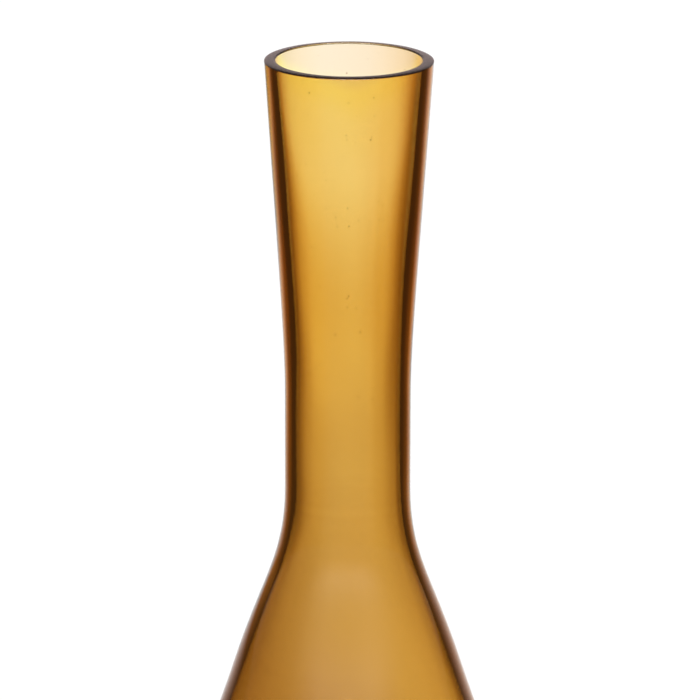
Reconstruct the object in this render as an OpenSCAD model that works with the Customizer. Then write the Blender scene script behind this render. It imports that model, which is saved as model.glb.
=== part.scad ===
// Glass bud vase: a bottle-shaped vessel, blown in one piece of amber glass.
// Millimetres, +Z up. The origin is on the axis, at the level the foot stands on.

/* [Body] */
// Overall height, from the foot to the rim
height = 300; // [280:1:340]
// Widest diameter of the body
belly_d = 100; // [92:1:112]
// Height of the widest level
belly_z = 62; // [54:1:72]
// Glass thickness at the widest level
body_wall = 2.5; // [2:0.1:3.5]

/* [Shoulder] */
// Diameter halfway down the shoulder, where its sides are nearly straight
shoulder_d = 57.5; // [54:0.5:61]
// Height of that level
shoulder_z = 143; // [138:1:148]
// Radius lost for each millimetre of height at that level
shoulder_lean = 0.32; // [0.28:0.005:0.36]

/* [Neck] */
// Outside diameter of the throat, the narrowest stretch
throat_d = 31.7; // [29:0.1:34]
// Glass thickness in the throat
throat_wall = 2.5; // [2:0.1:3.5]
// Height where the straight throat starts
throat_bottom = 190; // [186:1:196]
// Height where the straight throat ends
throat_top = 214; // [208:1:220]

/* [Mouth] */
// Outside diameter at the rim
mouth_d = 42; // [38:0.5:46]
// Glass thickness at the rim
mouth_wall = 2.75; // [2:0.05:3.5]
// Radius gained for each millimetre of height at the rim
mouth_flare = 0.067; // [0.05:0.001:0.08]
// Size of the broken edges of the ground rim
rim_edge = 0.35; // [0.2:0.05:0.6]

/* [Foot] */
// Outside diameter of the flat ring that the vase stands on
foot_d = 66; // [58:1:72]
// Width of that ring
foot_ring_width = 7; // [4:0.5:9]
// Depth of the hollow inside the ring
kick_depth = 2.5; // [1:0.25:3.5]
// Height of the inside floor on the axis
floor_z = 8.5; // [7:0.5:11]

/* [Hidden] */

$fn = 160;
// Straight pieces that stand for each curved stretch of the outline
curve_steps = 18;

belly_r = belly_d / 2;
shoulder_r = shoulder_d / 2;
throat_r = throat_d / 2;
mouth_r = mouth_d / 2;
foot_r = foot_d / 2;
foot_inner_r = foot_r - foot_ring_width;

// A wall that leans is wider across the level than it is thick
shoulder_wall_across = body_wall * sqrt(1 + shoulder_lean * shoulder_lean);

// How far each stretch keeps its end directions, as a share of its height
body_pull = 0.35;
shoulder_low_pull = 0.45;
shoulder_high_pull = 0.475;
throat_low_pull = 0.4;
throat_high_pull = 0.161;
mouth_pull = 0.623;
// The same for the round underside, as a share of its height and of its width
heel_pull_up = 0.45;
heel_pull_in = 0.6;
// The same for the bowl of the inside floor
bowl_pull_up = 0.8;
bowl_pull_in = 0.75;

// Point at t, from 0 to 1, of the cubic curve with control points p
function curve_point(p, t) =
    pow(1 - t, 3) * p[0] + 3 * t * pow(1 - t, 2) * p[1]
    + 3 * t * t * (1 - t) * p[2] + pow(t, 3) * p[3];

// Points along that curve. Its first point is left out, because the stretch before ends there
function curve(p) = [for (i = [1 : curve_steps]) curve_point(p, i / curve_steps)];

// Stretch from radius r0 at height z0 to r1 at z1. slope is the radius gained for each
// millimetre of height at that end, and pull is how long the curve keeps it
function side(r0, z0, slope0, pull0, r1, z1, slope1, pull1) =
    let (rise = z1 - z0)
    curve([
        [r0, z0],
        [r0 + slope0 * pull0 * rise, z0 + pull0 * rise],
        [r1 - slope1 * pull1 * rise, z1 - pull1 * rise],
        [r1, z1],
    ]);

// One face of the wall, from the widest level up to just under the rim
function wall_face(belly, shoulder, throat, mouth) = concat(
    side(belly, belly_z, 0, body_pull,
         shoulder, shoulder_z, -shoulder_lean, shoulder_low_pull),
    side(shoulder, shoulder_z, -shoulder_lean, shoulder_high_pull,
         throat, throat_bottom, 0, throat_low_pull),
    [[throat, throat_top]],
    side(throat, throat_top, 0, throat_high_pull,
         mouth, height - rim_edge, mouth_flare, mouth_pull)
);

function reversed(points) = [for (i = [len(points) - 1 : -1 : 0]) points[i]];

// Hollow under the foot: an arc from the axis out to the foot's ring
kick_arc_r = (foot_inner_r * foot_inner_r + kick_depth * kick_depth) / (2 * kick_depth);
kick = [
    for (i = [0 : curve_steps])
        let (r = foot_inner_r * i / curve_steps)
        [r, kick_depth - kick_arc_r + sqrt(kick_arc_r * kick_arc_r - r * r)]
];

// Round underside, from the foot's ring out and up to the widest level
underside = curve([
    [foot_r, 0],
    [foot_r + heel_pull_in * (belly_r - foot_r), 0],
    [belly_r, belly_z * (1 - heel_pull_up)],
    [belly_r, belly_z],
]);

inner_belly_r = belly_r - body_wall;

// Inside floor, from the widest level down to the axis
bowl = curve([
    [inner_belly_r, belly_z],
    [inner_belly_r, belly_z - bowl_pull_up * (belly_z - floor_z)],
    [bowl_pull_in * inner_belly_r, floor_z],
    [0, floor_z],
]);

outer_face = wall_face(belly_r, shoulder_r, throat_r, mouth_r);
inner_face = wall_face(inner_belly_r, shoulder_r - shoulder_wall_across,
                       throat_r - throat_wall, mouth_r - mouth_wall);

// The flat ground rim, between its two broken edges
rim = [
    [mouth_r - rim_edge, height],
    [mouth_r - mouth_wall + rim_edge, height],
];

// Vessel of solid glass: base, body, shoulder, neck and ground rim in one
module vase() {
    color([0.80, 0.52, 0.18, 0.6])
        rotate_extrude()
            polygon(concat(
                kick, [[foot_r, 0]], underside, outer_face,
                rim, reversed(inner_face), [[inner_belly_r, belly_z]], bowl
            ));
}

vase();
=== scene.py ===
# Glass bud vase: its visual model, glass, light and camera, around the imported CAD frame.
# Metres, +Z up. The vase's axis is the Z axis, and it stands on Z = 0.
import math
import random

import bmesh
import bpy
import numpy as np
from mathutils import Matrix, Vector


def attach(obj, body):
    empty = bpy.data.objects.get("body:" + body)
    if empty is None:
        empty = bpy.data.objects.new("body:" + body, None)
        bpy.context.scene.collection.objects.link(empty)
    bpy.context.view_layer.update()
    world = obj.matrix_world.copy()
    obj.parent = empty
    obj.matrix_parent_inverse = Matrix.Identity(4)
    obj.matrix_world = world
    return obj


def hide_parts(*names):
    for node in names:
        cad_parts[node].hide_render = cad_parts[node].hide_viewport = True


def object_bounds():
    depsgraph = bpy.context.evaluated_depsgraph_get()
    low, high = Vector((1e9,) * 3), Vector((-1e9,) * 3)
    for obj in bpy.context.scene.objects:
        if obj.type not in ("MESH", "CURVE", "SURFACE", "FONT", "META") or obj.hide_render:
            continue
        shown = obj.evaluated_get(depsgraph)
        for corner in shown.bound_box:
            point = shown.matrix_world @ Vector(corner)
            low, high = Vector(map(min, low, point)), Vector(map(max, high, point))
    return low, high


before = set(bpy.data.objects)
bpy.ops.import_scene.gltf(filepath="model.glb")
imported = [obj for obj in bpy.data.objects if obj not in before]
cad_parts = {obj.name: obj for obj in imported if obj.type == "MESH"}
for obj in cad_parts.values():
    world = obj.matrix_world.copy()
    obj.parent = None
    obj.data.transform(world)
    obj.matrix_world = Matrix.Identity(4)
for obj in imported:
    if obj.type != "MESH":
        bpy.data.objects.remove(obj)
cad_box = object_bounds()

MM = 0.001

# ---------------------------------------------------------------- outline, read from the CAD node

RING_TOLERANCE = 0.02 * MM    # vertices this close in radius and height are on one ring
STRAIGHT_LENGTH = 4.5 * MM    # a longer step between rings is a straight stretch
STRAIGHT_STEP = 2 * MM        # a straight stretch is cut into steps of about this length
CURVE_STEPS = 2               # steps that a curved stretch gets between two rings
CORNER_ANGLE = math.radians(25)    # a curve isn't drawn through a sharper turn
EDGE_ANGLE = math.radians(12)      # a sharper turn between two steps counts as an edge
MUCH_SHORTER = 0.25           # and so does a next step that is a smaller share of this one
HOLD = 0.12 * MM              # distance of the extra points from an edge
HELD_LENGTH = 4 * HOLD        # a shorter step gets no extra points
RIM_STEPS = 10                # steps from each side of the rim to its crest
CREST_SHARE = 0.18            # how far across the rim its crest is, from the inside


def rings_of(node):
    """The (radius, height) rings of a round CAD node, in order along its outline."""
    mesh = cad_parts[node].data
    xyz = np.array([v.co for v in mesh.vertices])
    place = np.column_stack([np.hypot(xyz[:, 0], xyz[:, 1]), xyz[:, 2]])
    rings = []
    ring_of = np.full(len(place), -1)
    for start in range(len(place)):
        if ring_of[start] < 0:
            same = np.hypot(*(place - place[start]).T) < RING_TOLERANCE
            ring_of[same] = len(rings)
            rings.append(place[same].mean(axis=0))
    neighbours = {i: set() for i in range(len(rings))}
    for edge in mesh.edges:
        a, b = (int(ring_of[v]) for v in edge.vertices)
        if a != b:
            neighbours[a].add(b)
            neighbours[b].add(a)
    ends = [i for i, ring in enumerate(rings) if ring[0] < RING_TOLERANCE]
    order = [min(ends, key=lambda i: rings[i][1])]
    while True:
        ahead = neighbours[order[-1]] - set(order)
        if not ahead:
            break
        order.append(min(ahead, key=lambda i: np.hypot(*(rings[i] - rings[order[-1]]))))
    return np.array([rings[i] for i in order])


def is_corner(points, i):
    """True where the outline turns sharply, or meets a long straight stretch."""
    before, after = points[i] - points[i - 1], points[i + 1] - points[i]
    turn = math.atan2(before[0] * after[1] - before[1] * after[0], before @ after)
    long_step = max(np.hypot(*before), np.hypot(*after)) > STRAIGHT_LENGTH
    return abs(turn) > CORNER_ANGLE or long_step


def smooth_stretch(points, steps):
    """Catmull-Rom curve through the points, with that many steps between each two."""
    ends = [2 * points[0] - points[1], *points, 2 * points[-1] - points[-2]]
    made = [points[0]]
    for a, b, c, d in zip(ends, ends[1:], ends[2:], ends[3:]):
        for k in range(1, steps + 1):
            t = k / steps
            made.append(0.5 * (2 * b + (c - a) * t + (2 * a - 5 * b + 4 * c - d) * t * t
                               + (3 * b - a - 3 * c + d) * t ** 3))
    return made


def refined(points):
    """The outline with smooth curves between its corners."""
    corners = [0] + [i for i in range(1, len(points) - 1) if is_corner(points, i)]
    corners.append(len(points) - 1)
    made = [points[0]]
    for first, last in zip(corners, corners[1:]):
        stretch = list(points[first:last + 1])
        if len(stretch) > 2:
            made += smooth_stretch(stretch, CURVE_STEPS)[1:]
        else:
            count = max(1, round(np.hypot(*(stretch[1] - stretch[0])) / STRAIGHT_STEP))
            made += [stretch[0] + (stretch[1] - stretch[0]) * k / count
                     for k in range(1, count + 1)]
    return np.array(made)


def arc(wall, crest, steps):
    """Quarter ellipse from upright at the wall to level at the crest, without its ends."""
    angles = [math.pi / 2 * k / steps for k in range(1, steps)]
    return [np.array([crest[0] + (wall[0] - crest[0]) * math.cos(angle),
                      wall[1] + (crest[1] - wall[1]) * math.sin(angle)]) for angle in angles]


def polished_rim(points):
    """The outline with its flat rim rounded, highest near the inside, as polishing leaves it."""
    top = points[:, 1].max()
    flat = np.flatnonzero(points[:, 1] > top - RING_TOLERANCE)
    outer, inner = points[flat[0] - 1], points[flat[-1] + 1]
    crest = np.array([inner[0] + CREST_SHARE * (outer[0] - inner[0]), top])
    rim = [*arc(outer, crest, RIM_STEPS), crest, *arc(inner, crest, RIM_STEPS)[::-1]]
    return np.vstack([points[:flat[0]], rim, points[flat[-1] + 1:]])


def is_edge(length, next_length, turn):
    """True where a step of the outline ends at an edge, or at much shorter steps."""
    ends = abs(turn) > EDGE_ANGLE or next_length < MUCH_SHORTER * length
    return length > HELD_LENGTH and ends


def held(points):
    """The outline with extra points close to its edges, so that shading bends only there."""
    steps = np.diff(points, axis=0)
    lengths = np.hypot(steps[:, 0], steps[:, 1])
    aims = np.unwrap(np.arctan2(steps[:, 1], steps[:, 0]))
    made = [points[0]]
    for i in range(len(steps)):
        along = steps[i] / lengths[i]
        if i > 0 and is_edge(lengths[i], lengths[i - 1], aims[i] - aims[i - 1]):
            made.append(points[i] + along * HOLD)
        if i + 1 < len(steps) and is_edge(lengths[i], lengths[i + 1], aims[i + 1] - aims[i]):
            made.append(points[i + 1] - along * HOLD)
        made.append(points[i + 1])
    return np.array(made)


# ---------------------------------------------------------------- glass vessel

AROUND = 176                  # faces round the vase
RANDOM_SEED = 11
SMALLEST_WAVE = 0.4           # share of the largest size

# Waves: how many, the largest size, and the ranges of turns round the vase and lengths up it
DRIFT = (3, 0.10 * MM, (1, 3), (0.15, 0.4))            # slow drift of both faces of the wall
OUTER_WAVE = (7, 0.015 * MM, (2, 9), (0.05, 0.25))     # ripple of the outer face by itself
INNER_WAVE = (7, 0.015 * MM, (2, 11), (0.04, 0.25))    # and of the inner face
STREAK = (9, 0.002 * MM, (14, 36), (0.3, 0.9))         # lengthwise streaks of the inner face

WAVES_FROM = 12 * MM          # all of this grows up to this height, from none at the foot
NECK_SWELL = 0.45 * MM        # extra wall of the neck, on its inner face
SWELL_HEIGHT = 238 * MM       # where it is thickest
SWELL_LENGTH = 42 * MM        # how far up and down from there it reaches


def waves(rng, count, size, rounds, lengths):
    """Random sine waves over angle and height, as rows of size, turns, cycles and phase."""
    return [
        (size * rng.uniform(SMALLEST_WAVE, 1.0), rng.randint(*rounds),
         2 * math.pi / rng.uniform(*lengths), rng.uniform(0, 2 * math.pi))
        for _ in range(count)
    ]


def wave_height(rows, angle, height):
    """Sum of the waves at that angle and height."""
    return sum(size * np.sin(turns * angle + cycles * height + phase)
               for size, turns, cycles, phase in rows)


def lathe(name, outline, shift):
    """Closed mesh turned from an outline that starts and ends on the axis."""
    inner = outline[1:-1]
    angles = np.arange(AROUND) * 2 * math.pi / AROUND
    radius = inner[:, 0][:, None] + shift(angles[None, :], inner[:, 1][:, None])
    height = np.repeat(inner[:, 1][:, None], AROUND, axis=1)
    rows = np.stack([radius * np.cos(angles), radius * np.sin(angles), height], axis=-1)
    verts = [Vector((0, 0, outline[0][1]))] + [Vector(p) for p in rows.reshape(-1, 3)]
    verts.append(Vector((0, 0, outline[-1][1])))

    def at(ring, side):
        """Number of the vertex on that ring, after the one at the start of the axis."""
        return 1 + ring * AROUND + side % AROUND

    faces = []
    last = len(inner) - 1
    for side in range(AROUND):
        faces.append((0, at(0, side + 1), at(0, side)))
        faces.append((len(verts) - 1, at(last, side), at(last, side + 1)))
        for ring in range(last):
            faces.append((at(ring, side), at(ring, side + 1),
                          at(ring + 1, side + 1), at(ring + 1, side)))
    mesh = bpy.data.meshes.new(name)
    mesh.from_pydata(verts, [], faces)
    mesh.update()
    return mesh


def make_vessel():
    """The glass vessel, with the slight unevenness of blown glass."""
    rng = random.Random(RANDOM_SEED)
    drift = waves(rng, *DRIFT)
    outer_wave = waves(rng, *OUTER_WAVE)
    inner_wave = waves(rng, *INNER_WAVE) + waves(rng, *STREAK)
    outline = held(refined(polished_rim(rings_of("vase"))))
    over_rim = int(np.argmax(outline[:, 1]))
    is_inner = np.zeros(len(outline) - 2, bool)
    is_inner[over_rim:] = True

    def shift(angle, height):
        """What the waves and the swell add to the radius."""
        share = np.clip(height / WAVES_FROM, 0, 1)
        swell = NECK_SWELL * np.exp(-((height - SWELL_HEIGHT) / SWELL_LENGTH) ** 2)
        inner = wave_height(inner_wave, angle, height) - swell
        own = np.where(is_inner[:, None], inner, wave_height(outer_wave, angle, height))
        return share * (wave_height(drift, angle, height) + own)

    mesh = lathe("vase_glass", outline, shift)
    for polygon in mesh.polygons:
        polygon.use_smooth = True
    return bpy.data.objects.new("vase_glass", mesh)


vessel = make_vessel()
bpy.context.scene.collection.objects.link(vessel)

# ---------------------------------------------------------------- material nodes


class Maths:
    """Short names for the maths nodes of one node tree."""

    def __init__(self, tree):
        self.tree = tree

    def node(self, kind, inputs, **settings):
        """A new node. Each of its inputs is linked to a socket or gets a value."""
        node = self.tree.nodes.new(kind)
        for name, value in settings.items():
            setattr(node, name, value)
        for socket, value in inputs.items():
            if isinstance(value, bpy.types.NodeSocket):
                self.tree.links.new(value, node.inputs[socket])
            else:
                node.inputs[socket].default_value = value
        return node

    def calc(self, operation, *values):
        """The result of one maths operation."""
        inputs = dict(enumerate(values))
        return self.node("ShaderNodeMath", inputs, operation=operation).outputs[0]

    def add(self, a, b):
        return self.calc("ADD", a, b)

    def times(self, a, b):
        return self.calc("MULTIPLY", a, b)

    def mix(self, share, start, end):
        """A number between start and end."""
        return self.node("ShaderNodeMix", {0: share, 2: start, 3: end}).outputs[0]

    def blend(self, share, start, end):
        """A colour between start and end."""
        colours = {6: start, 7: end}
        for socket, colour in colours.items():
            if not isinstance(colour, bpy.types.NodeSocket):
                colours[socket] = (*colour, 1)
        return self.node("ShaderNodeMix", {0: share, **colours}, data_type="RGBA").outputs[2]

    def step(self, value, low, high, start=0.0, end=1.0):
        """start below low, end above high, and an even curve between."""
        inputs = {"Value": value, "From Min": low, "From Max": high,
                  "To Min": start, "To Max": end}
        node = self.node("ShaderNodeMapRange", inputs, interpolation_type="SMOOTHSTEP")
        return node.outputs["Result"]


# ---------------------------------------------------------------- glass

REFRACTION = 1.5                         # the refractive index
WALL = 2.65 * MM                         # a usual thickness of the wall
WALL_COLOUR = (0.812, 0.583, 0.223)      # what one wall lets through
FACE_ROUGHNESS = (0.01, 0.045)           # of the fire-polished faces, in soft cloudy patches
PATCHES = 38                             # soft patches in a metre
PATCH_EDGES = (0.35, 0.65)               # noise values between which a patch fades
GROUND_ROUGHNESS = 0.35                  # of the ground foot ring
GROUND_TO = (0.2 * MM, 0.5 * MM)         # heights between which that ends
RIM_ROUGHNESS = 0.2                      # of the rim, which is ground and then polished
RIM_FROM = (0.32 * MM, 0.2 * MM)         # depths below the top between which that starts
SEED_SPACING = 3.0 * MM                  # between the fine seeds that the glass holds
SEED_RADIUS = 0.32 * MM                  # of the largest
SEED_CORE = 0.4                          # share of a seed that is fully dark
SEED_PAINTED_SHADE = (0.40, 0.26, 0.12)         # painted shade of a seed: the darkening a small bubble shows against light from behind, painted as colour
SEEDS_BETWEEN = (150 * MM, 240 * MM)     # heights between which the seeds grow to full size
LOW_SEEDS = 0.4                          # their share of it below that


def amber_glass():
    """Clear amber glass, softly ground on the foot ring and the rim."""
    material = bpy.data.materials.new("amber_glass")
    material.use_nodes = True
    m = Maths(material.node_tree)
    shader = m.tree.nodes["Principled BSDF"]
    shader.inputs["IOR"].default_value = REFRACTION
    shader.inputs["Transmission Weight"].default_value = 1.0

    place = m.node("ShaderNodeTexCoord", {}).outputs["Object"]
    height = m.node("ShaderNodeSeparateXYZ", {0: place}).outputs["Z"]
    cloud = m.node("ShaderNodeTexNoise", {"Vector": place, "Scale": PATCHES, "Detail": 3})
    face = m.step(cloud.outputs[0], *PATCH_EDGES, *FACE_ROUGHNESS)
    rim_from, rim_at = (cad_box[1].z - depth for depth in RIM_FROM)
    face_or_rim = m.step(height, rim_from, rim_at, face, RIM_ROUGHNESS)
    roughness = m.step(height, *GROUND_TO, GROUND_ROUGHNESS, face_or_rim)
    m.tree.links.new(roughness, shader.inputs["Roughness"])

    # Seeds are small bubbles; their dark look against light from behind is painted shade, dark
    # dots in the base colour
    seeds = m.node("ShaderNodeTexVoronoi", {"Vector": place, "Scale": 1 / SEED_SPACING})
    chance = m.node("ShaderNodeSeparateXYZ", {0: seeds.outputs["Color"]}).outputs["X"]
    largest = m.step(height, *SEEDS_BETWEEN, LOW_SEEDS, 1.0)
    size = m.times(m.times(largest, chance), SEED_RADIUS / SEED_SPACING)
    clear = m.step(seeds.outputs["Distance"], m.times(size, SEED_CORE), size)
    m.tree.links.new(m.blend(clear, SEED_PAINTED_SHADE, (1, 1, 1)), shader.inputs["Base Color"])

    per_metre = [-math.log(share) / WALL for share in WALL_COLOUR]
    density = max(per_metre)
    colour = (*[1 - x / density for x in per_metre], 1)
    volume = m.node("ShaderNodeVolumeAbsorption", {"Color": colour, "Density": density})
    m.tree.links.new(volume.outputs[0], m.tree.nodes["Material Output"].inputs["Volume"])
    return material


vessel.data.materials.append(amber_glass())
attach(vessel, "root")
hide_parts("vase")

# ---------------------------------------------------------------- floor and light

# The floor's glow below is painted light: a painted bright strip behind the vase and painted
# darker sides, which the floor gives off itself and no lamp casts
PALE = 0.62                # brightness of the plain floor
WHITE = 1.04               # brightness of the lit strip behind the vase, as the camera sees it

WHITE_START = 0.15         # half the width of that white near the vase
WHITE_SPREAD = 0.06        # what half of it gains in each metre
WHITE_FADE = 0.6           # width over which it fades to the pale floor
CAMERA_SIDES = (60, 85)    # degrees from straight behind the vase between which white ends

# What the glass gets from the floor, set until the glass looked right to the camera
STRIP = (                  # distance behind the vase, and the strip's brightness and tint there
    (0.30, 0.91, (1.0, 0.86, 0.75)),
    (0.38, 1.10, (1.0, 1.00, 1.07)),
    (0.50, 1.03, (1.0, 0.98, 1.00)),
    (0.64, 1.14, (1.0, 1.05, 1.16)),
    (0.82, 1.37, (1.0, 1.15, 1.40)),
    (1.03, 1.62, (1.0, 1.41, 3.05)),
    (1.12, 1.61, (1.0, 1.40, 2.7)),
    (1.20, 1.62, (1.0, 1.38, 1.9)),
    (1.26, 1.36, (1.0, 1.24, 2.65)),
)
SKIRT = 0.48               # brightness just outside the strip
DARK = 0.10                # further to its sides
SIDE = 0.47                # to the left and right of the vase
SIDE_TINT = (1.0, 0.77, 0.60)
REFLECTED = 1.0            # behind the vase, as the outside of the glass reflects it
REFLECTED_DARK = 0.02      # and further to its sides
FRONT = 0.2                # in front of the vase

STRIP_START = 0.143        # how far to the right the strip's middle is near the vase
STRIP_DRIFT = -0.21        # and what that gains in each metre
STRIP_HALF = 0.17          # half the strip's width near the vase
STRIP_SPREAD = 0.44        # what half of it gains with the cube of the distance
STRIP_WIDEST = 1.0
STRIP_EVEN = 0.08          # half the width that is evenly bright
EVEN_BETWEEN = (0.6, 1.1)  # distances between which that part grows

# Degrees from straight behind the vase, between which the light changes
SKIRT_TO_DARK = (14, 44)
DARK_TO_SIDE = (62, 87)
SIDE_TO_FRONT = (125, 150)
TINT_TO_SIDE = (2, 28)             # from the middle of the strip
REFLECTED_TO_DARK = (8, 50)

# The outside of the glass reflects the far left as dark
FAR_LEFT = (-0.5, -0.1)            # sideways places between which that ends
FAR = (0.7, 1.0)                   # distances between which it starts

# The room round the floor. Each pair is two values of one part of the direction toward it,
# which runs from -1 to 1, and the brightness or colour changes between them.
FRONT_WALL = 1.15                  # brightness of the room in front, low above the floor
FLOOR_EDGE = 0.3                   # and level with the floor
EDGE_TO_WALL = (0.08, 0.28)        # upward
BACK_WALL = 0.75                   # brightness of the room behind
BACK_TINT = (1.0, 0.80, 0.78)
FRONT_TO_BACK = (-0.2, 0.2)        # toward the back
DIM = 0.12                         # brightness of the room higher up and at its sides
WALL_TO_CEILING = (0.25, 0.5)      # upward
WALL_TO_SIDE = (0.35, 0.95)        # sideways

PAPER = 0.8                        # how much the plain paper near the vase reflects
PAPER_TO = (0.2, 0.32)             # distances from the vase between which the paper ends
FLOOR_RADIUS = 12.0
FLOOR_SIDES = 96
FLOOR_DROP = 0.02 * MM             # keeps the floor clear of the foot

LAMP_WIDTH = 1.2
LAMP_POWER = 23                    # in watts
LAMP_HEIGHT = 1.8


def degrees_of(m, x, y):
    """How far round a place is from straight behind, to either side, in degrees."""
    angle = m.calc("ARCTAN2", m.calc("ABSOLUTE", x), y)
    return m.calc("DEGREES", angle)


def light_of_strip(m, y):
    """Brightness and tint of the strip, from one distance of STRIP to the next."""
    start, light, tint = STRIP[0]
    for end, next_light, next_tint in STRIP[1:]:
        light = m.step(y, start, end, light, next_light)
        tint = m.blend(m.step(y, start, end), tint, next_tint)
        start = end
    return light, tint


def light_in_glass(m, x, y, bearing, is_reflection):
    """Light that the glass gets from each place: brightness and colour."""
    strip_light, tint = light_of_strip(m, y)
    off_middle = m.calc("SUBTRACT", x, m.add(m.times(y, STRIP_DRIFT), STRIP_START))
    cube = m.calc("POWER", m.calc("MAXIMUM", y, 0.0), 3)
    strip_edge = m.add(m.times(cube, STRIP_SPREAD), STRIP_HALF)
    strip_edge = m.calc("MINIMUM", strip_edge, STRIP_WIDEST)
    even_to = m.step(y, *EVEN_BETWEEN, 0.0, STRIP_EVEN)
    skirt = m.step(bearing, *SKIRT_TO_DARK, SKIRT, DARK)
    behind = m.step(m.calc("ABSOLUTE", off_middle), even_to, strip_edge, strip_light, skirt)
    through = m.step(bearing, *DARK_TO_SIDE, behind, SIDE)

    far_left = m.times(m.step(x, *FAR_LEFT, 1.0, 0.0), m.step(y, *FAR))
    far = m.mix(far_left, REFLECTED, DARK)
    reflected = m.step(bearing, *REFLECTED_TO_DARK, far, REFLECTED_DARK)
    light = m.mix(is_reflection, through, reflected)
    light = m.step(bearing, *SIDE_TO_FRONT, light, FRONT)
    tint = m.blend(m.step(degrees_of(m, off_middle, y), *TINT_TO_SIDE), tint, SIDE_TINT)
    return light, m.blend(is_reflection, tint, (1, 1, 1))


def light_on_camera(m, x, y, bearing):
    """The floor as the camera sees it: pale, and white behind the vase."""
    white_to = m.add(m.times(y, WHITE_SPREAD), WHITE_START)
    pale_from = m.add(white_to, WHITE_FADE)
    behind = m.step(m.calc("ABSOLUTE", x), white_to, pale_from, WHITE, PALE)
    return m.step(bearing, *CAMERA_SIDES, behind, PALE)


def floor_material():
    """Pale paper near the vase, and a floor that glows further out. There the camera sees it
    pale, and white behind the vase. The glass gets other light from the same places instead: a
    tinted strip behind the vase and darker sides, and untinted light in its reflections."""
    material = bpy.data.materials.new("floor_painted_light")
    material.use_nodes = True
    tree = material.node_tree
    tree.nodes.clear()
    m = Maths(tree)

    place = m.node("ShaderNodeTexCoord", {}).outputs["Object"]
    split = m.node("ShaderNodeSeparateXYZ", {0: place})
    x, y = split.outputs["X"], split.outputs["Y"]
    bearing = degrees_of(m, x, y)
    ray = m.node("ShaderNodeLightPath", {}).outputs

    # Painted light: the glow that the glass gets, a bright tinted strip and darker sides
    light, tint = light_in_glass(m, x, y, bearing, ray["Is Reflection Ray"])
    in_glass = m.node("ShaderNodeEmission", {"Color": tint, "Strength": light}).outputs[0]
    # Painted light: the glow that the camera sees, pale with a white strip behind the vase
    shown = light_on_camera(m, x, y, bearing)
    seen = m.node("ShaderNodeEmission", {"Strength": shown}).outputs[0]
    glow = m.node("ShaderNodeMixShader", {0: ray["Is Camera Ray"], 1: in_glass, 2: seen})

    paper = m.node("ShaderNodeBsdfDiffuse", {"Color": (PAPER, PAPER, PAPER, 1)}).outputs[0]
    radius = m.calc("SQRT", m.add(m.times(x, x), m.times(y, y)))
    inputs = {0: m.step(radius, *PAPER_TO), 1: paper, 2: glow.outputs[0]}
    mix = m.node("ShaderNodeMixShader", inputs)
    m.node("ShaderNodeOutputMaterial", {"Surface": mix.outputs[0]})
    return material


def make_floor():
    """A round floor under the vase, which is staging and not part of the object."""
    mesh = bpy.data.meshes.new("floor")
    built = bmesh.new()
    bmesh.ops.create_circle(built, cap_ends=True, radius=FLOOR_RADIUS, segments=FLOOR_SIDES)
    built.to_mesh(mesh)
    built.free()
    mesh.materials.append(floor_material())
    floor = bpy.data.objects.new("floor", mesh)
    floor.location.z = cad_box[0].z - FLOOR_DROP
    bpy.context.scene.collection.objects.link(floor)


def make_room():
    """The room round the floor, brightest in front and behind."""
    world = bpy.data.worlds.new("studio")
    world.use_nodes = True
    background = world.node_tree.nodes["Background"]
    m = Maths(world.node_tree)
    toward = m.node("ShaderNodeTexCoord", {}).outputs["Generated"]
    split = m.node("ShaderNodeSeparateXYZ", {0: toward}).outputs
    front_wall = m.step(split["Z"], *EDGE_TO_WALL, FLOOR_EDGE, FRONT_WALL)
    wall = m.step(split["Y"], *FRONT_TO_BACK, front_wall, BACK_WALL)
    low = m.step(split["Z"], *WALL_TO_CEILING, wall, DIM)
    strength = m.step(m.calc("ABSOLUTE", split["X"]), *WALL_TO_SIDE, low, DIM)
    colour = m.blend(m.step(split["Y"], *FRONT_TO_BACK), (1, 1, 1), BACK_TINT)
    m.tree.links.new(strength, background.inputs["Strength"])
    m.tree.links.new(colour, background.inputs["Color"])
    bpy.context.scene.world = world


def make_lamp():
    """One soft round lamp over the vase."""
    lamp = bpy.data.lights.new("overhead", "AREA")
    lamp.shape = "DISK"
    lamp.size = LAMP_WIDTH
    lamp.energy = LAMP_POWER
    overhead = bpy.data.objects.new("overhead", lamp)
    overhead.location = (0, 0, LAMP_HEIGHT)
    bpy.context.scene.collection.objects.link(overhead)


make_floor()
make_room()
make_lamp()

# ---------------------------------------------------------------- camera

VIEW_ELEVATION = math.radians(13)       # of the line from the rim to the camera
VIEW_DISTANCE = 1.2                     # from the rim's centre
RIM_ABOVE_CENTRE = math.radians(3.424)  # how far the rim is above the picture's centre
FOCAL_LENGTH = 249.94                   # in mm, on the sensor
SENSOR_WIDTH = 36                       # in mm
CLIPPING = (0.01, 50)                   # nearest and furthest distance that is drawn
ROLL = math.radians(0.18)               # tilt of the picture
SIDE_STEP = 0.45 * MM                   # of the camera, to the right of the vase's axis


def make_camera():
    """The camera, at the photograph's viewing angle."""
    data = bpy.data.cameras.new("camera")
    data.sensor_width = SENSOR_WIDTH
    data.lens = FOCAL_LENGTH
    data.clip_start, data.clip_end = CLIPPING
    camera = bpy.data.objects.new("camera", data)
    camera.location = (
        SIDE_STEP,
        -VIEW_DISTANCE * math.cos(VIEW_ELEVATION),
        cad_box[1].z + VIEW_DISTANCE * math.sin(VIEW_ELEVATION),
    )
    pitch = VIEW_ELEVATION + RIM_ABOVE_CENTRE
    level = Matrix.Rotation(math.pi / 2 - pitch, 4, "X")
    roll = Matrix.Rotation(ROLL, 4, "Z")
    camera.matrix_world = Matrix.Translation(camera.location) @ level @ roll
    bpy.context.scene.collection.objects.link(camera)
    bpy.context.scene.camera = camera


make_camera()
bpy.context.scene.view_settings.view_transform = "Standard"
